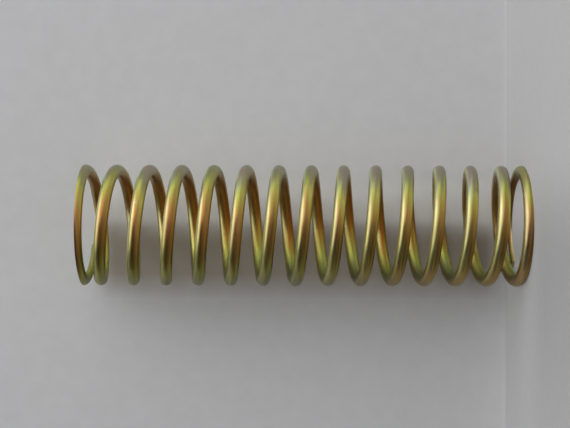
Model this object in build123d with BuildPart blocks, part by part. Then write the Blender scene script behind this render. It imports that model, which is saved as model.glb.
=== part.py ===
from build123d import *
from math import cos, pi, radians, sin
import os

# A small compression spring: one length of round wire, wound left-hand, with closed and ground ends.
# It stands on its lower ground face. The origin is the centre of that face, and +Z is the coil's axis.
# Lengths are in millimetres. Places along the wire are in turns, counted from the lower tip.

# The wire, and the coil that it is wound into
WIRE_DIAMETER = 2.0
OUTER_DIAMETER = 20.0
FREE_LENGTH = 72.4
TOTAL_TURNS = 15.06
LOWER_TIP_ANGLE = 137.0  # degrees about the axis, from +X towards +Y

# Closed ends: from its tip the wire lies almost flat, then it opens out to the pitch of the working coils
LOWER_CLOSED_TURNS = 0.75
LOWER_OPENING_TURNS = 0.22
UPPER_CLOSED_TURNS = 0.63
UPPER_OPENING_TURNS = 0.14
TIP_GAP = 0.05  # air between a tip and the turn that it closes against

# Ground ends: the thickness of wire that the grinding leaves at each tip
LOWER_TIP_THICKNESS = 0.5
UPPER_TIP_THICKNESS = 0.8

# The lowest working coils are wound tighter: they start at this share of the full pitch, and widen evenly
LOWER_PITCH_RATIO = 0.94
WIDENING_TURNS = 5.3

# Points that the centre line of the wire runs through in each turn
POINTS_PER_TURN = 24

# Worked out from the sizes above
COIL_RADIUS = (OUTER_DIAMETER - WIRE_DIAMETER) / 2
LOWER_TIP_DEPTH = WIRE_DIAMETER / 2 - LOWER_TIP_THICKNESS  # of the tip's centre, outside the ground face
UPPER_TIP_DEPTH = WIRE_DIAMETER / 2 - UPPER_TIP_THICKNESS
WIDENING_START = LOWER_CLOSED_TURNS + LOWER_OPENING_TURNS
CLOSING_START = TOTAL_TURNS - UPPER_CLOSED_TURNS - UPPER_OPENING_TURNS


def ramp(turn, start, length):
    """Turns gained by a rate that rises evenly from none to full over a length, and then stays full."""
    rising = min(max(turn - start, 0), length)
    full = max(turn - start - length, 0)
    return rising**2 / (2 * length) + full


def closed_pitch(pitch, closed_turns, opening_turns):
    """Pitch of an end coil whose tip comes to lie one wire and the tip gap away from the next turn."""
    open_share = ramp(1, closed_turns, opening_turns)
    return (WIRE_DIAMETER + TIP_GAP - pitch * open_share) / (1 - open_share)


def climb(turn, full_pitch):
    """Rise of the wire's centre since the lower tip. The pitch changes along the wire in four steps."""
    lower_pitch = full_pitch * LOWER_PITCH_RATIO
    lower_closed_pitch = closed_pitch(lower_pitch, LOWER_CLOSED_TURNS, LOWER_OPENING_TURNS)
    upper_closed_pitch = closed_pitch(full_pitch, UPPER_CLOSED_TURNS, UPPER_OPENING_TURNS)
    opening = ramp(turn, LOWER_CLOSED_TURNS, LOWER_OPENING_TURNS)
    widening = ramp(turn, WIDENING_START, WIDENING_TURNS)
    closing = ramp(turn, CLOSING_START, UPPER_OPENING_TURNS)
    return (
        lower_closed_pitch * turn
        + (lower_pitch - lower_closed_pitch) * opening
        + (full_pitch - lower_pitch) * widening
        + (upper_closed_pitch - full_pitch) * closing
    )


def pitch_for_rise(rise):
    """Full pitch at which the whole wire rises this far. The rise is a straight-line function of it."""
    rise_at_none = climb(TOTAL_TURNS, 0)
    rise_per_pitch = climb(TOTAL_TURNS, 1) - rise_at_none
    return (rise - rise_at_none) / rise_per_pitch


FULL_PITCH = pitch_for_rise(FREE_LENGTH + LOWER_TIP_DEPTH + UPPER_TIP_DEPTH)


def wire_centre(turn):
    """Centre of the wire at a place along it. The angle runs backwards, because the coil is left-hand."""
    angle = radians(LOWER_TIP_ANGLE) - 2 * pi * turn
    height = climb(turn, FULL_PITCH) - LOWER_TIP_DEPTH
    return Vector(COIL_RADIUS * cos(angle), COIL_RADIUS * sin(angle), height)


def wire_direction(turn, step=1e-4):
    """The way that the wire runs at a place along it."""
    return (wire_centre(turn + step) - wire_centre(turn - step)).normalized()


# Centre line of the wire, from tip to tip
point_count = round(TOTAL_TURNS * POINTS_PER_TURN)
point_turns = [TOTAL_TURNS * i / point_count for i in range(point_count + 1)]
with BuildLine() as centre_line:
    Spline(
        [wire_centre(turn) for turn in point_turns],
        tangents=[wire_direction(0), wire_direction(TOTAL_TURNS)],
        tangent_scalars=[1, 1],
    )

# The wire wound along it, and then ground flat and square at both ends
with BuildPart() as compression_spring:
    with BuildSketch(Plane(origin=wire_centre(0), z_dir=wire_direction(0))):
        Circle(WIRE_DIAMETER / 2)
    sweep(path=centre_line.line, is_frenet=True)
    split(bisect_by=Plane.XY, keep=Keep.TOP)
    split(bisect_by=Plane.XY.offset(FREE_LENGTH), keep=Keep.BOTTOM)

compression_spring.part.label = "compression_spring"

os.makedirs("parts", exist_ok=True)
export_step(compression_spring.part, "parts/compression_spring.step")
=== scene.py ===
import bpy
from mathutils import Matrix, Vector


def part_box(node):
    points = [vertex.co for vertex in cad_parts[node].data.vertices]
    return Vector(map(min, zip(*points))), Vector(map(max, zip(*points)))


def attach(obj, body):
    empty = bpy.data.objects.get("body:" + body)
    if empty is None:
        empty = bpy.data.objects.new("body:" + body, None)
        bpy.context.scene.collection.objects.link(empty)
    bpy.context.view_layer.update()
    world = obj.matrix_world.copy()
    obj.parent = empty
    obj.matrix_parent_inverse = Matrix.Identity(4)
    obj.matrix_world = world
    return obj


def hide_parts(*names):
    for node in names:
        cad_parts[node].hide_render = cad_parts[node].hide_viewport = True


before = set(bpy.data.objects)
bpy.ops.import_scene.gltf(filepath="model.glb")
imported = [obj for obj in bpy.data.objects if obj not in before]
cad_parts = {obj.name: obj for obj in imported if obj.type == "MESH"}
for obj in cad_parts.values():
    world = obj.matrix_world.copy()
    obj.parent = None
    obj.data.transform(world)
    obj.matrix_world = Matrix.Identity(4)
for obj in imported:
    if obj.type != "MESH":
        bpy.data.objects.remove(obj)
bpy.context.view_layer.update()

from math import cos, pi, radians, sin

import bmesh
import bpy
from mathutils import Matrix, Vector

scene = bpy.context.scene
scene.view_settings.view_transform = "Standard"


# ---- Camera -------------------------------------------------------------------------------------
# A compact camera held about ten coil diameters away, square to the axis of the coil.
# It is turned a quarter, so that the standing spring lies across the view with its top end on the left.

MM = 0.001
CAMERA_DISTANCE = 192.2 * MM  # from the lens to the coil's axis
CAMERA_HEIGHT = 39.2 * MM  # of the lens above the floor
CAMERA_OFFSET = 1.9 * MM  # of the lens to the side of the coil's axis
CAMERA_ROLL = 0.003  # in radians
NEAREST_SEEN = 10 * MM
FOCAL_LENGTH = 73.2632  # in millimetres, as the camera takes it
FRAME_WIDTH = 36  # in millimetres too

camera_data = bpy.data.cameras.new("camera")
camera_data.lens = FOCAL_LENGTH
camera_data.sensor_width = FRAME_WIDTH
camera_data.clip_start = NEAREST_SEEN
camera = bpy.data.objects.new("camera", camera_data)
scene.collection.objects.link(camera)
quarter_turn = Matrix(((0, 1, 0, 0), (0, 0, -1, 0), (-1, 0, 0, 0), (0, 0, 0, 1)))
camera.matrix_world = (
    Matrix.Translation((CAMERA_OFFSET, -CAMERA_DISTANCE, CAMERA_HEIGHT))
    @ quarter_turn
    @ Matrix.Rotation(CAMERA_ROLL, 4, "Z")
)
scene.camera = camera


# ---- Stage --------------------------------------------------------------------------------------
# The pale floor that the spring stands on, and a sheet of the same paper that curves up from it.
# The sheet stands just clear of the back of the coil. Both are clear when seen from behind.
# The paper carries painted shadow and painted light around the coil.

spring_low, spring_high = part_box("compression_spring")
outer_radius = (spring_high.x - spring_low.x) / 2

FLOOR_HALF_WIDTH = 1.5
SHEET_HALF_WIDTH = 0.3
SHEET_TOP = 0.5
SHEET_CLEARANCE = 1.0 * MM
CURVE_RADIUS = 0.95 * MM
CURVE_STEPS = 12

# The floor's paper is painted darker than the sheet's, a painted shade that evens out the stronger light on the floor
FLOOR_GREY = (0.40, 0.40, 0.405, 1)
SHEET_GREY = (0.75, 0.75, 0.765, 1)
PAPER_ROUGHNESS = 0.9
PAPER_SPECULAR = 0.2
MOTTLE_SCALE = 420.0
MOTTLE_DETAIL = 4.0

# Each range below holds where a shade of the paper starts and ends, then its strength at the two places
MOTTLE = (0.3, 0.7, 0.98, 1.02)
# Along the curve the grey turns late from the floor's to the sheet's, a painted shade where both lamps light the curve
CURVE_TO_SHEET = (0.2 * CURVE_RADIUS, 0.95 * CURVE_RADIUS, 0, 1)
FLOOR_TO_CURVE = (0.15 * CURVE_RADIUS, 0.82 * CURVE_RADIUS, 1, 0)

# Behind the coil the sheet has a painted shadow, dim and golden, on the shaded side, and a little painted light as
# glow on the light's side
COIL_SHADE = (0.66, 0.59, 0.51, 1)
COIL_GLOW = 0.06
COIL_FOOT = (1 * MM, 4 * MM, 0, 1)
COIL_TOP = (69 * MM, 73 * MM, 1, 0)
SHADE_BEGINS = (1.5 * MM, -3.5 * MM, 0, 1)
SHADE_ENDS = (-8.5 * MM, -13 * MM, 1, 0)
LIGHT_BEGINS = (-1 * MM, 1.5 * MM, 0, 1)
LIGHT_ENDS = (9 * MM, 5 * MM, 0, 1)

# The floor glows evenly, less as a painted shadow before the coil's shaded side, and more as painted light inside the
# coil on the light's side
FLOOR_GLOW = 0.12
FLOOR_SHADE = 0.10
INSIDE_GLOW = 0.13
BESIDE_BEGINS = (12 * MM, -4 * MM, 0, 1)
BESIDE_ENDS = (-8 * MM, -30 * MM, 1, 0.45)
BEFORE_BEGINS = (-2 * MM, -18 * MM, 0, 1)
BEFORE_ENDS = (-40 * MM, -90 * MM, 1, 0)
INSIDE_COIL = (9.5 * MM, 7.5 * MM, 0, 1)
INSIDE_LIGHT_SIDE = (-5 * MM, 4 * MM, 0, INSIDE_GLOW)

# The foot of the sheet glows as painted light, most on the shaded side
SHEET_GLOW = 0.07
SHEET_FOOT = (0, 20 * MM, 1, 0)
SHEET_FOOT_FALLOFF = 3
ACROSS_SHEET = (-4 * MM, 14 * MM, SHEET_GLOW, SHEET_GLOW / 4)

MIX_FIRST, MIX_SECOND, MIX_RESULT = 6, 7, 2  # the colour sockets of a Mix node


def wiring(tree):
    def put(socket, value):
        if hasattr(value, "links"):
            tree.links.new(value, socket)
        else:
            socket.default_value = value

    def maths(operation, first, second=0.0, clamp=False):
        node = tree.nodes.new("ShaderNodeMath")
        node.operation = operation
        node.use_clamp = clamp
        put(node.inputs[0], first)
        put(node.inputs[1], second)
        return node.outputs[0]

    return put, maths


def shading(tree):
    put, maths = wiring(tree)

    def times(first, *others):
        for other in others:
            first = maths("MULTIPLY", first, other)
        return first

    def plus(first, *others):
        for other in others:
            first = maths("ADD", first, other)
        return first

    def span(value, low, high, to_low, to_high, smooth=False):
        node = tree.nodes.new("ShaderNodeMapRange")
        node.interpolation_type = "SMOOTHSTEP" if smooth else "LINEAR"
        put(node.inputs["Value"], value)
        for name, number in (("From Min", low), ("From Max", high), ("To Min", to_low), ("To Max", to_high)):
            node.inputs[name].default_value = number
        return node.outputs["Result"]

    def blend(share, first, second, how="MIX"):
        node = tree.nodes.new("ShaderNodeMix")
        node.data_type = "RGBA"
        node.blend_type = how
        put(node.inputs["Factor"], share)
        put(node.inputs[MIX_FIRST], first)
        put(node.inputs[MIX_SECOND], second)
        return node.outputs[MIX_RESULT]

    def noise(vector, scale, detail=2.0, roughness=0.5):
        node = tree.nodes.new("ShaderNodeTexNoise")
        put(node.inputs["Vector"], vector)
        node.inputs["Scale"].default_value = scale
        node.inputs["Detail"].default_value = detail
        node.inputs["Roughness"].default_value = roughness
        return node.outputs["Fac"]

    def parts(vector):
        node = tree.nodes.new("ShaderNodeSeparateXYZ")
        put(node.inputs[0], vector)
        return node.outputs

    def distance(vector, point):
        node = tree.nodes.new("ShaderNodeVectorMath")
        node.operation = "DISTANCE"
        put(node.inputs[0], vector)
        node.inputs[1].default_value = point
        return node.outputs["Value"]

    return times, plus, span, blend, noise, parts, distance


def paper():
    material = bpy.data.materials.new("paper")
    material.use_nodes = True
    nodes, links = material.node_tree.nodes, material.node_tree.links
    surface = nodes["Principled BSDF"]
    _, maths = wiring(material.node_tree)
    times, plus, span, blend, noise, parts, distance = shading(material.node_tree)
    position = nodes.new("ShaderNodeTexCoord").outputs["Object"]
    across, along, height = parts(position)

    # The paper's grey, painted darker on the floor than on the sheet to even out the light and turning late along the
    # curve as painted shade, and the painted shadow on the sheet behind the coil
    upright = span(height, *CURVE_TO_SHEET, smooth=True)
    flat = span(height, *FLOOR_TO_CURVE)
    behind_coil = times(span(height, *COIL_FOOT), span(height, *COIL_TOP))
    painted_shadow = times(span(across, *SHADE_BEGINS, smooth=True), span(across, *SHADE_ENDS), behind_coil)
    grey = blend(painted_shadow, blend(upright, FLOOR_GREY, SHEET_GREY), COIL_SHADE, "MULTIPLY")
    mottled = nodes.new("ShaderNodeVectorMath")
    mottled.operation = "SCALE"
    links.new(grey, mottled.inputs[0])
    links.new(span(noise(position, MOTTLE_SCALE, MOTTLE_DETAIL), *MOTTLE), mottled.inputs["Scale"])
    links.new(mottled.outputs["Vector"], surface.inputs["Base Color"])
    surface.inputs["Roughness"].default_value = PAPER_ROUGHNESS
    surface.inputs["Specular IOR Level"].default_value = PAPER_SPECULAR

    # Its glow, which is seen and reflected but lights nothing: even on the floor, with painted shadow and painted
    # light near the coil and painted light at the foot of the sheet
    beside = times(span(across, *BESIDE_BEGINS, smooth=True), span(across, *BESIDE_ENDS))
    before = times(span(along, *BEFORE_BEGINS, smooth=True), span(along, *BEFORE_ENDS, smooth=True))
    inside = times(
        span(distance(position, (0, 0, 0)), *INSIDE_COIL, smooth=True),
        span(across, *INSIDE_LIGHT_SIDE, smooth=True),
    )
    floor_glow = plus(maths("SUBTRACT", FLOOR_GLOW, times(beside, before, FLOOR_SHADE)), inside)
    sheet_painted_light = times(
        maths("POWER", span(height, *SHEET_FOOT), SHEET_FOOT_FALLOFF),
        maths("SUBTRACT", 1, painted_shadow),
        span(across, *ACROSS_SHEET, smooth=True),
    )
    light_side = times(span(across, *LIGHT_BEGINS, smooth=True), span(across, *LIGHT_ENDS, smooth=True))
    glow = plus(times(floor_glow, flat), times(sheet_painted_light, upright), times(light_side, behind_coil, COIL_GLOW))
    ray = nodes.new("ShaderNodeLightPath").outputs
    seen = maths("MAXIMUM", maths("MAXIMUM", ray["Is Camera Ray"], ray["Is Glossy Ray"]), ray["Is Transmission Ray"])
    surface.inputs["Emission Color"].default_value = (1, 1, 1, 1)
    links.new(times(glow, seen), surface.inputs["Emission Strength"])

    # From behind it is clear, so that the sheet doesn't hide the spring
    clear = nodes.new("ShaderNodeBsdfTransparent")
    front_only = nodes.new("ShaderNodeMixShader")
    links.new(nodes.new("ShaderNodeNewGeometry").outputs["Backfacing"], front_only.inputs["Fac"])
    links.new(surface.outputs["BSDF"], front_only.inputs[1])
    links.new(clear.outputs["BSDF"], front_only.inputs[2])
    links.new(front_only.outputs["Shader"], nodes["Material Output"].inputs["Surface"])
    return material


def stage_strip(name, half_width, profile, material):
    corners = [(side * half_width, y, z) for y, z in profile for side in (-1, 1)]
    quads = [(2 * step, 2 * step + 1, 2 * step + 3, 2 * step + 2) for step in range(len(profile) - 1)]
    mesh = bpy.data.meshes.new(name)
    mesh.from_pydata(corners, [], quads)
    mesh.materials.append(material)
    mesh.shade_smooth()
    strip = bpy.data.objects.new(name, mesh)
    scene.collection.objects.link(strip)


sheet_y = outer_radius + SHEET_CLEARANCE
bends = [step / CURVE_STEPS * pi / 2 for step in range(CURVE_STEPS + 1)]
sheet_profile = [(sheet_y - CURVE_RADIUS * (1 - sin(bend)), CURVE_RADIUS * (1 - cos(bend))) for bend in bends]
sheet_profile += [(sheet_y, 1.5 * CURVE_RADIUS), (sheet_y, SHEET_TOP)]
paper_material = paper()
stage_strip("floor", FLOOR_HALF_WIDTH, [(-FLOOR_HALF_WIDTH, 0), (FLOOR_HALF_WIDTH, 0)], paper_material)
stage_strip("sheet", SHEET_HALF_WIDTH, sheet_profile, paper_material)


# ---- Light --------------------------------------------------------------------------------------
# A broad soft window light from above and in front, a second soft light from the side, and a dim room.
# The room is brighter above and on the light's side, and every ray sees the same room.

WINDOW_DIRECTION = (0.14, -0.28, 0.94)
WINDOW_DISTANCE = 0.8
WINDOW_SIZE = 1.0
WINDOW_WATTS = 3.2
SKY_DIRECTION = (0.83, -0.47, 0.30)
SKY_DISTANCE = 0.6
SKY_SIZE = 1.25
SKY_WATTS = 4.6
ROOM_BRIGHT_SIDE = (0.80, -0.10, 0.55)
ROOM_GREYS = (0.03, 0.22)  # of the room away from its bright side, and toward it

free_length = spring_high.z - spring_low.z
middle = Vector((0, 0, free_length / 2))


def soft_lamp(name, direction, distance, size, watts):
    lamp_data = bpy.data.lights.new(name, "AREA")
    lamp_data.shape = "DISK"
    lamp_data.size = size
    lamp_data.energy = watts
    lamp = bpy.data.objects.new(name, lamp_data)
    lamp.location = middle + Vector(direction).normalized() * distance
    lamp.rotation_mode = "QUATERNION"
    lamp.rotation_quaternion = (middle - lamp.location).to_track_quat("-Z", "Y")
    lamp.visible_camera = False
    scene.collection.objects.link(lamp)


def room():
    world = bpy.data.worlds.new("room")
    world.use_nodes = True
    nodes, links = world.node_tree.nodes, world.node_tree.links
    direction = nodes.new("ShaderNodeTexCoord")
    toward_bright_side = nodes.new("ShaderNodeVectorMath")
    toward_bright_side.operation = "DOT_PRODUCT"
    toward_bright_side.inputs[1].default_value = Vector(ROOM_BRIGHT_SIDE).normalized()
    links.new(direction.outputs["Generated"], toward_bright_side.inputs[0])
    grey = nodes.new("ShaderNodeMapRange")
    grey.inputs["To Min"].default_value, grey.inputs["To Max"].default_value = ROOM_GREYS
    links.new(toward_bright_side.outputs["Value"], grey.inputs["Value"])
    links.new(grey.outputs["Result"], nodes["Background"].inputs["Color"])
    return world


soft_lamp("window", WINDOW_DIRECTION, WINDOW_DISTANCE, WINDOW_SIZE, WINDOW_WATTS)
soft_lamp("sky", SKY_DIRECTION, SKY_DISTANCE, SKY_SIZE, SKY_WATTS)
scene.world = room()


# ---- Spring -------------------------------------------------------------------------------------
# One length of drawn steel wire, wound left-hand on a mandrel, with its end coils closed and ground square.
# It is zinc plated, and its yellow chromate shifts between straw, copper and green along the wire; round the wire its
# colour also holds painted highlights, reflections and shade.

WIRE_RADIUS = 1.0 * MM
TURNS = 15.06
LOWER_TIP_ANGLE = radians(137)
TIP_GAP = 0.05 * MM
LOWER_TIP_THICKNESS = 0.5 * MM
UPPER_TIP_THICKNESS = 0.8 * MM
LOWER_CLOSED_TURNS, LOWER_OPENING_TURNS = 0.75, 0.22
UPPER_CLOSED_TURNS, UPPER_OPENING_TURNS = 0.63, 0.14
LOWER_PITCH_RATIO, WIDENING_TURNS = 0.94, 5.3
RINGS_PER_TURN = 120
SIDES = 36

lower_tip_depth = WIRE_RADIUS - LOWER_TIP_THICKNESS
upper_tip_depth = WIRE_RADIUS - UPPER_TIP_THICKNESS
widening_start = LOWER_CLOSED_TURNS + LOWER_OPENING_TURNS
closing_start = TURNS - UPPER_CLOSED_TURNS - UPPER_OPENING_TURNS


def ramp(turn, start, length):
    rising = min(max(turn - start, 0), length)
    return rising**2 / (2 * length) + max(turn - start - length, 0)


def closed_pitch(pitch, closed_turns, opening_turns):
    open_share = ramp(1, closed_turns, opening_turns)
    return (2 * WIRE_RADIUS + TIP_GAP - pitch * open_share) / (1 - open_share)


def pitches(full_pitch):
    lower_pitch = full_pitch * LOWER_PITCH_RATIO
    return (
        closed_pitch(lower_pitch, LOWER_CLOSED_TURNS, LOWER_OPENING_TURNS),
        lower_pitch,
        full_pitch,
        closed_pitch(full_pitch, UPPER_CLOSED_TURNS, UPPER_OPENING_TURNS),
    )


def rise(full_pitch):
    lower_closed, lower, full, upper_closed = pitches(full_pitch)
    return (
        lower_closed * TURNS
        + (lower - lower_closed) * ramp(TURNS, LOWER_CLOSED_TURNS, LOWER_OPENING_TURNS)
        + (full - lower) * ramp(TURNS, widening_start, WIDENING_TURNS)
        + (upper_closed - full) * ramp(TURNS, closing_start, UPPER_OPENING_TURNS)
    )


# The rise is a straight line in the full pitch, so two trial pitches, 0 and 1 mm, give the one that fits the length
rise_needed = free_length + lower_tip_depth + upper_tip_depth
full_pitch = (rise_needed - rise(0)) / (rise(MM) - rise(0)) * MM
lower_closed_pitch, lower_pitch, _, upper_closed_pitch = pitches(full_pitch)


def coil_tree():
    tree = bpy.data.node_groups.new("wind_coil", "GeometryNodeTree")
    tree.interface.new_socket("Geometry", in_out="OUTPUT", socket_type="NodeSocketGeometry")

    def add_input(name, kind):
        tree.interface.new_socket(name, in_out="INPUT", socket_type=kind)

    for name in (
        "Turns", "Coil Radius", "Wire Radius", "Tip Angle", "Tip Height",
        "Lower Closed Pitch", "Lower Pitch", "Full Pitch", "Upper Closed Pitch",
        "Lower Closed Turns", "Lower Opening Turns", "Widening Start", "Widening Turns",
        "Closing Start", "Upper Opening Turns",
    ):
        add_input(name, "NodeSocketFloat")
    add_input("Rings", "NodeSocketInt")
    add_input("Sides", "NodeSocketInt")
    add_input("Material", "NodeSocketMaterial")

    nodes, links = tree.nodes, tree.links
    put, maths = wiring(tree)
    given = nodes.new("NodeGroupInput").outputs
    out = nodes.new("NodeGroupOutput")

    def ramp_nodes(turn, start, length):
        past = maths("MAXIMUM", maths("SUBTRACT", turn, start), 0.0)
        rising = maths("MINIMUM", past, length)
        half_square = maths("DIVIDE", maths("MULTIPLY", rising, rising), maths("MULTIPLY", length, 2.0))
        return maths("ADD", half_square, maths("SUBTRACT", past, rising))

    def store(name, kind, geometry, value):
        node = nodes.new("GeometryNodeStoreNamedAttribute")
        node.data_type = kind
        node.domain = "POINT"
        node.inputs["Name"].default_value = name
        links.new(geometry, node.inputs["Geometry"])
        links.new(value, node.inputs["Value"])
        return node.outputs["Geometry"]

    # The wire's centre line, one point for each ring, with its turn stored on it
    index = nodes.new("GeometryNodeInputIndex").outputs[0]
    last = maths("SUBTRACT", given["Rings"], 1.0)
    turn = maths("MULTIPLY", maths("DIVIDE", index, last), given["Turns"])
    pitch_changes = (
        (given["Lower Closed Pitch"], given["Lower Pitch"], given["Lower Closed Turns"], given["Lower Opening Turns"]),
        (given["Lower Pitch"], given["Full Pitch"], given["Widening Start"], given["Widening Turns"]),
        (given["Full Pitch"], given["Upper Closed Pitch"], given["Closing Start"], given["Upper Opening Turns"]),
    )
    height = maths("ADD", given["Tip Height"], maths("MULTIPLY", given["Lower Closed Pitch"], turn))
    for before, after, start, length in pitch_changes:
        gain = maths("MULTIPLY", maths("SUBTRACT", after, before), ramp_nodes(turn, start, length))
        height = maths("ADD", height, gain)
    angle = maths("SUBTRACT", given["Tip Angle"], maths("MULTIPLY", turn, 2 * pi))
    place = nodes.new("ShaderNodeCombineXYZ")
    put(place.inputs["X"], maths("MULTIPLY", given["Coil Radius"], maths("COSINE", angle)))
    put(place.inputs["Y"], maths("MULTIPLY", given["Coil Radius"], maths("SINE", angle)))
    put(place.inputs["Z"], height)
    line = nodes.new("GeometryNodeMeshLine")
    put(line.inputs["Count"], given["Rings"])
    centre_line = nodes.new("GeometryNodeMeshToCurve")
    links.new(line.outputs["Mesh"], centre_line.inputs["Mesh"])
    wound = nodes.new("GeometryNodeSetPosition")
    links.new(centre_line.outputs["Curve"], wound.inputs["Geometry"])
    links.new(place.outputs["Vector"], wound.inputs["Position"])
    upright = nodes.new("GeometryNodeSetCurveNormal")
    upright.mode = "Z_UP"
    links.new(wound.outputs["Geometry"], upright.inputs["Curve"])
    path = store("turn", "FLOAT", upright.outputs["Curve"], turn)

    # The wire's round section, with its outward and upward side stored on it
    section = nodes.new("GeometryNodeCurvePrimitiveCircle")
    put(section.inputs["Resolution"], given["Sides"])
    put(section.inputs["Radius"], given["Wire Radius"])
    position = nodes.new("GeometryNodeInputPosition")
    unit = nodes.new("ShaderNodeVectorMath")
    unit.operation = "NORMALIZE"
    links.new(position.outputs["Position"], unit.inputs[0])
    outward_and_up = nodes.new("ShaderNodeVectorMath")
    outward_and_up.operation = "MULTIPLY"
    outward_and_up.inputs[1].default_value = (-1, -1, -1)
    links.new(unit.outputs["Vector"], outward_and_up.inputs[0])
    outline = store("side", "FLOAT_VECTOR", section.outputs["Curve"], outward_and_up.outputs["Vector"])

    wire = nodes.new("GeometryNodeCurveToMesh")
    wire.inputs["Fill Caps"].default_value = True
    links.new(path, wire.inputs["Curve"])
    links.new(outline, wire.inputs["Profile Curve"])
    real = nodes.new("GeometryNodeRealizeInstances")
    links.new(wire.outputs["Mesh"], real.inputs["Geometry"])
    coated = nodes.new("GeometryNodeSetMaterial")
    links.new(real.outputs["Geometry"], coated.inputs["Geometry"])
    links.new(given["Material"], coated.inputs["Material"])
    links.new(coated.outputs["Geometry"], out.inputs["Geometry"])
    return tree


# The film's colours by the place round the coil, from its shaded side, 0, to its light side, 1: the film's own colours
# with painted reflection and shade, the greys at both ends painting the paper's reflection at the coil's shaded and
# light sides, and the darker browns and plums painting the dim room's reflection
OUTER_FILM_AND_REFLECTION = (
    (0.00, (0.20, 0.175, 0.09)),  # grey
    (0.08, (0.29, 0.25, 0.06)),  # olive
    (0.18, (0.31, 0.26, 0.025)),  # dark green gold
    (0.30, (0.21, 0.12, 0.012)),  # brown
    (0.44, (0.33, 0.19, 0.03)),  # bronze
    (0.58, (0.32, 0.20, 0.035)),  # gold
    (0.72, (0.31, 0.25, 0.045)),  # straw
    (0.82, (0.35, 0.36, 0.09)),  # green
    (0.92, (0.36, 0.355, 0.21)),  # grey green
    (1.00, (0.46, 0.37, 0.31)),  # rosy grey
)
ROSY_FILM_AND_REFLECTION = (
    (0.00, (0.23, 0.19, 0.11)),  # grey
    (0.07, (0.26, 0.24, 0.05)),  # olive
    (0.13, (0.27, 0.27, 0.02)),  # green
    (0.20, (0.25, 0.16, 0.012)),  # brown
    (0.29, (0.26, 0.115, 0.015)),  # red brown
    (0.39, (0.44, 0.17, 0.03)),  # copper
    (0.52, (0.50, 0.21, 0.07)),  # rose
    (0.64, (0.43, 0.22, 0.07)),  # rose gold
    (0.74, (0.38, 0.30, 0.05)),  # gold
    (0.82, (0.38, 0.42, 0.06)),  # yellow green
    (0.90, (0.34, 0.35, 0.17)),  # grey green
    (1.00, (0.48, 0.355, 0.30)),  # rosy grey
)
# The lower flank's colours are partly painted light, brightest in the green
LOWER_FLANK_FILM_AND_LIGHT = (
    (0.00, (0.18, 0.165, 0.07)),  # grey
    (0.15, (0.27, 0.24, 0.045)),  # olive
    (0.28, (0.24, 0.17, 0.02)),  # brown
    (0.45, (0.34, 0.23, 0.04)),  # copper
    (0.62, (0.66, 0.46, 0.09)),  # rose gold
    (0.78, (0.92, 0.80, 0.22)),  # green
    (0.90, (0.50, 0.44, 0.21)),  # grey green
    (1.00, (0.42, 0.37, 0.28)),  # grey
)
# The upper flank's colours are partly a painted highlight, pale where the window light falls
UPPER_FLANK_FILM_AND_HIGHLIGHT = (
    (0.00, (0.24, 0.22, 0.10)),  # grey
    (0.22, (0.58, 0.53, 0.18)),  # olive
    (0.45, (0.65, 0.60, 0.24)),  # pale gold
    (0.68, (0.64, 0.65, 0.35)),  # pale straw
    (0.79, (0.72, 0.73, 0.44)),  # pale green
    (0.88, (0.68, 0.69, 0.48)),  # pale grey green
    (1.00, (0.55, 0.53, 0.46)),  # grey
)
INNER_FILM_AND_REFLECTION = (
    (0.00, (0.21, 0.22, 0.13)),  # grey green
    (0.12, (0.26, 0.35, 0.13)),  # green
    (0.23, (0.38, 0.44, 0.05)),  # yellow green
    (0.34, (0.37, 0.24, 0.018)),  # gold
    (0.48, (0.49, 0.19, 0.012)),  # copper
    (0.67, (0.39, 0.15, 0.016)),  # plum
    (0.80, (0.35, 0.14, 0.018)),  # dark plum
    (0.95, (0.33, 0.165, 0.04)),  # brown
    (1.00, (0.34, 0.24, 0.10)),  # dull gold
)
DARK_REFLECTION_BROWN = (0.10, 0.06, 0.006, 1)
PALE_REFLECTION = (0.94, 0.92, 0.46, 1)
INNER_GOLD = (0.82, 0.63, 0.16, 1)
INNER_GREEN = (0.72, 0.76, 0.28, 1)
END_COPPER = (0.40, 0.22, 0.06, 1)
END_ROSE = (0.64, 0.45, 0.27, 1)
END_OLIVE = (0.40, 0.38, 0.10, 1)
GROUND_STRAW = (0.50, 0.45, 0.20, 1)
GROUND_OLIVE = (0.34, 0.32, 0.13, 1)
GLINT_WHITE = (0.80, 0.79, 0.70, 1)
SCUFF_BROWN = (0.08, 0.06, 0.02, 1)

# How often each pattern changes in a turn of the wire, how often round the wire, and its finer detail
DRIFT = (1.28, 0.8, 2.0)
ROSE_DRIFT = (2.3, 1.0, 2.0)
STREAKS = (9.0, 4.0, 3.0)
DIE_LINES = (5.0, 16.0, 3.0)
# These are in changes for each metre
WHEEL_SCALES = (300.0, 9000.0)
GLINT_SCALE = 800.0
SCUFF_GRAIN_SCALE = 4000.0
SMUDGE_SCALE = 260.0
GRAIN_SCALE = 5200.0

GROUND_DEPTH = 0.01 * MM
GLINT_SHARE = 0.07  # of the places where a speck could lie
GLINT_COVER = 0.45
GLINT_EDGE = (0.07, 0.13)
SCUFF_PLACE = (5.6 * MM, -7.5 * MM, 8.6 * MM)
SCUFF_REACH = (0.3 * MM, 1.0 * MM)
SCUFF_COVER = 0.9

DIE_LINE_RELIEF, GRAIN_RELIEF, SCUFF_RELIEF = 0.7, 0.3, -0.4
RELIEF_STRENGTH = 0.35
RELIEF_DEPTH = 0.02 * MM
ROUGHNESS = (0.30, 0.42)
STREAK_ROUGHNESS = (-0.03, 0.05)
GROUND_ROUGHNESS = 0.08
WEAR_AND_GLINT_ROUGHNESS = 0.2
SPECULAR_TINT = (0.80, 0.85, 0.75, 1)
COAT_WEIGHT = 0.35
COAT_ROUGHNESS = 0.32
COAT_IOR = 1.5


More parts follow.
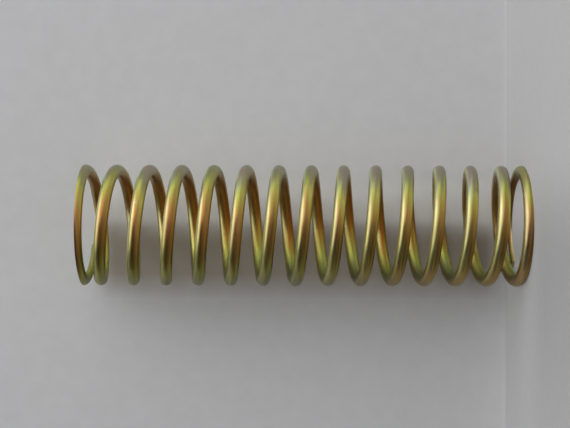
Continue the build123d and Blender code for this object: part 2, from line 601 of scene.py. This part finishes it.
def chromate():
    material = bpy.data.materials.new("yellow_chromate")
    material.use_nodes = True
    nodes, links = material.node_tree.nodes, material.node_tree.links
    surface = nodes["Principled BSDF"]
    put, maths = wiring(material.node_tree)
    times, plus, span, blend, noise, parts, distance = shading(material.node_tree)

    def attribute(name, output):
        node = nodes.new("ShaderNodeAttribute")
        node.attribute_name = name
        return node.outputs[output]

    def joined(x, y, z):
        node = nodes.new("ShaderNodeCombineXYZ")
        for socket, value in zip(node.inputs, (x, y, z)):
            put(socket, value)
        return node.outputs[0]

    def wire_noise(per_turn, round_wire, detail):
        return noise(joined(times(turn, per_turn), times(outward, round_wire), times(upward, round_wire)), 1.0, detail)

    def colours(value, stops):
        node = nodes.new("ShaderNodeValToRGB")
        links.new(value, node.inputs["Fac"])
        elements = node.color_ramp.elements
        while len(elements) < len(stops):
            elements.new(0.5)
        for element, (at, colour) in zip(elements, stops):
            element.position = at
            element.color = (*colour, 1)
        return node.outputs["Color"]

    turn = attribute("turn", "Fac")
    outward, upward, _ = parts(attribute("side", "Vector"))
    position = nodes.new("ShaderNodeTexCoord").outputs["Object"]
    across, along, height = parts(position)

    # The film: its colour follows the place round the coil, partly as the film's own colour and partly as painted
    # reflection and shade, and drifts and streaks along the wire.
    # Each span holds where a change starts and ends, then its strength at the two places
    streak = wire_noise(*STREAKS)
    place = plus(
        span(across, -outer_radius, outer_radius, 0.0, 1.0),
        span(turn, 6.0, 14.0, 0.02, -0.02, True),
        span(wire_noise(*DRIFT), 0.3, 0.7, -0.11, 0.11),
        span(streak, 0.3, 0.7, -0.02, 0.02),
    )
    # Its rosier kind comes and goes, and takes over toward the upper end and in the lowest turns
    rosiness = plus(span(wire_noise(*ROSE_DRIFT), 0.38, 0.62, -0.45, 0.45), span(turn, 3.0, 11.0, 0.05, 1.1))
    rosiness = maths("ADD", rosiness, span(turn, 2.6, 0.6, 0.0, 0.9, True), True)
    rosy = colours(place, ROSY_FILM_AND_REFLECTION)
    # The upper flank's colour is partly a painted highlight, rosier in the lowest turns
    upper_flank_and_highlight = blend(span(turn, 1.8, 0.7, 0.0, 0.75, True), colours(place, UPPER_FLANK_FILM_AND_HIGHLIGHT), END_ROSE)
    # The lower flank's colour is partly painted light
    lower_flank_and_light = blend(times(rosiness, 0.55), colours(place, LOWER_FLANK_FILM_AND_LIGHT), rosy)

    # The outer side of the wire, with its lower flank, partly painted light, and a brown band of painted dark
    # reflection where that flank begins
    outside = blend(rosiness, colours(place, OUTER_FILM_AND_REFLECTION), rosy)
    lowered = maths("SUBTRACT", upward, span(place, 0.58, 0.72, 0.0, 0.08))
    outside = blend(span(lowered, 0.0, -0.5, 0.0, 0.9, True), outside, lower_flank_and_light)
    dark_reflection_band = times(span(upward, 0.1, -0.22, 0.0, 1.0, True), span(upward, -0.28, -0.65, 1.0, 0.0, True))
    dark_reflection = maths("SUBTRACT", span(place, 0.4, 0.62, 0.95, 0.0), times(rosiness, 0.35), True)
    outside = blend(times(dark_reflection_band, times(dark_reflection, span(place, 0.10, 0.24, 0.2, 1.0))), outside, DARK_REFLECTION_BROWN)
    # Its upper flank with its painted highlight, and that flank's pale edge, a painted reflection of the paper
    lift = plus(
        maths("SUBTRACT", upward, span(place, 0.5, 0.72, 0.0, 0.22)),
        span(place, 0.42, 0.22, 0.0, 0.16),
        times(span(upward, 0.0, 0.4, 0.0, 0.18), span(place, 0.45, 0.32, 0.0, 1.0)),
    )
    outside = blend(span(lift, -0.05, 0.75, 0.0, 1.0, True), outside, upper_flank_and_highlight)
    edge = times(span(upward, 0.6, 0.9, 0.0, 0.9, True), span(place, 0.15, 0.4, 0.25, 1.0))
    outside = blend(edge, outside, PALE_REFLECTION)
    # Copper on the shaded side of the lower turns, and olive on the light side of the lowest one
    copper = times(span(turn, 8.5, 2.5, 0.0, 0.8, True), span(place, 0.3, 0.08, 0.0, 1.0, True))
    outside = blend(copper, outside, END_COPPER)
    olive = times(span(turn, 0.95, 0.6, 0.0, 0.8, True), span(place, 0.74, 0.88, 0.0, 1.0, True))
    outside = blend(olive, outside, END_OLIVE)

    # The inner side of the wire, with its golden lower flank and the same upper flank, with its painted highlight
    inside = colours(place, INNER_FILM_AND_REFLECTION)
    golden = times(span(upward, -0.02, -0.48, 0.0, 0.8, True), span(place, 0.58, 0.34, 0.0, 1.0, True))
    inside = blend(golden, inside, blend(span(place, 0.28, 0.42, 0.0, 1.0, True), INNER_GREEN, INNER_GOLD))
    early = plus(upward, span(place, 0.36, 0.5, 0.0, 0.12))
    inner_highlight_flank = times(
        span(early, 0.0, 0.6, 0.0, 0.9, True),
        span(place, 0.5, 0.7, 1.0, 0.3, True),
        span(place, 0.15, 0.45, 0.6, 1.0),
    )
    inside = blend(inner_highlight_flank, inside, upper_flank_and_highlight)
    film_and_painted_light = blend(span(outward, -0.5, 0.5, 0.0, 1.0, True), inside, outside)

    # The two ground faces: flat, paler, and lined by the wheel
    ground = maths(
        "MAXIMUM", maths("LESS_THAN", height, GROUND_DEPTH), maths("GREATER_THAN", height, free_length - GROUND_DEPTH)
    )
    across_lines, along_lines = WHEEL_SCALES
    wheel = noise(joined(times(across, across_lines), times(along, along_lines), 0.0), 1.0, 3.0, 0.6)
    film_and_painted_light = blend(ground, film_and_painted_light, blend(span(wheel, 0.35, 0.65, 0.0, 1.0), GROUND_OLIVE, GROUND_STRAW))

    # A few small white specks painted as glints, and wear: one scuff where the spring was handled
    glint_cells = nodes.new("ShaderNodeTexVoronoi")
    glint_cells.inputs["Scale"].default_value = GLINT_SCALE
    links.new(position, glint_cells.inputs["Vector"])
    rare = maths("GREATER_THAN", parts(glint_cells.outputs["Color"])[0], 1 - GLINT_SHARE)
    glint = times(span(glint_cells.outputs["Distance"], *GLINT_EDGE, 1.0, 0.0), rare)
    film_and_painted_light = blend(times(glint, GLINT_COVER), film_and_painted_light, GLINT_WHITE)
    scuff = times(
        span(distance(position, SCUFF_PLACE), *SCUFF_REACH, 1.0, 0.0),
        span(noise(position, SCUFF_GRAIN_SCALE), 0.52, 0.6, 0.0, SCUFF_COVER),
    )
    film_and_painted_light = blend(scuff, film_and_painted_light, SCUFF_BROWN)
    links.new(film_and_painted_light, surface.inputs["Base Color"])

    # The plate's grain over the fine lines of the drawing die
    relief = plus(
        times(wire_noise(*DIE_LINES), DIE_LINE_RELIEF),
        times(noise(position, GRAIN_SCALE), GRAIN_RELIEF),
        times(scuff, SCUFF_RELIEF),
    )
    relief_or_wheel = nodes.new("ShaderNodeMix")
    links.new(ground, relief_or_wheel.inputs["Factor"])
    links.new(relief, relief_or_wheel.inputs["A"])
    links.new(wheel, relief_or_wheel.inputs["B"])
    bump = nodes.new("ShaderNodeBump")
    bump.inputs["Strength"].default_value = RELIEF_STRENGTH
    bump.inputs["Distance"].default_value = RELIEF_DEPTH
    links.new(relief_or_wheel.outputs["Result"], bump.inputs["Height"])
    links.new(bump.outputs["Normal"], surface.inputs["Normal"])
    rough = plus(
        span(noise(position, SMUDGE_SCALE, 3.0), 0.3, 0.7, *ROUGHNESS),
        span(streak, 0.25, 0.75, *STREAK_ROUGHNESS),
        times(ground, GROUND_ROUGHNESS),
        times(plus(scuff, glint), WEAR_AND_GLINT_ROUGHNESS),
    )
    links.new(rough, surface.inputs["Roughness"])

    surface.inputs["Metallic"].default_value = 1
    surface.inputs["Specular Tint"].default_value = SPECULAR_TINT
    surface.inputs["Coat Weight"].default_value = COAT_WEIGHT
    surface.inputs["Coat Roughness"].default_value = COAT_ROUGHNESS
    surface.inputs["Coat IOR"].default_value = COAT_IOR
    return material


def wind_coil(material):
    holder = bpy.data.objects.new("coil", bpy.data.meshes.new("coil"))
    scene.collection.objects.link(holder)
    winding = holder.modifiers.new("winding", "NODES")
    tree = coil_tree()
    winding.node_group = tree
    values = {
        "Turns": TURNS,
        "Coil Radius": outer_radius - WIRE_RADIUS,
        "Wire Radius": WIRE_RADIUS,
        "Tip Angle": LOWER_TIP_ANGLE,
        "Tip Height": -lower_tip_depth,
        "Lower Closed Pitch": lower_closed_pitch,
        "Lower Pitch": lower_pitch,
        "Full Pitch": full_pitch,
        "Upper Closed Pitch": upper_closed_pitch,
        "Lower Closed Turns": LOWER_CLOSED_TURNS,
        "Lower Opening Turns": LOWER_OPENING_TURNS,
        "Widening Start": widening_start,
        "Widening Turns": WIDENING_TURNS,
        "Closing Start": closing_start,
        "Upper Opening Turns": UPPER_OPENING_TURNS,
        "Rings": round(TURNS * RINGS_PER_TURN) + 1,
        "Sides": SIDES,
        "Material": material,
    }
    for item in tree.interface.items_tree:
        if item.in_out == "INPUT":
            winding[item.identifier] = values[item.name]
    scene.view_layers[0].update()
    evaluated = holder.evaluated_get(bpy.context.evaluated_depsgraph_get())
    mesh = bpy.data.meshes.new_from_object(evaluated)
    bpy.data.objects.remove(holder)
    return mesh


def grind(mesh, height, outward):
    shape = bmesh.new()
    shape.from_mesh(mesh)
    everything = shape.verts[:] + shape.edges[:] + shape.faces[:]
    cut = bmesh.ops.bisect_plane(
        shape, geom=everything, plane_co=(0, 0, height), plane_no=(0, 0, outward), clear_outer=True
    )
    rim = [part for part in cut["geom_cut"] if isinstance(part, bmesh.types.BMEdge)]
    for edge in rim:
        edge.smooth = False
    bmesh.ops.edgeloop_fill(shape, edges=rim)
    shape.to_mesh(mesh)
    shape.free()


wire_mesh = wind_coil(chromate())
wire_mesh.shade_smooth()
grind(wire_mesh, 0, -1)
grind(wire_mesh, free_length, 1)
spring = bpy.data.objects.new("spring", wire_mesh)
scene.collection.objects.link(spring)
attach(spring, "root")
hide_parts("compression_spring")
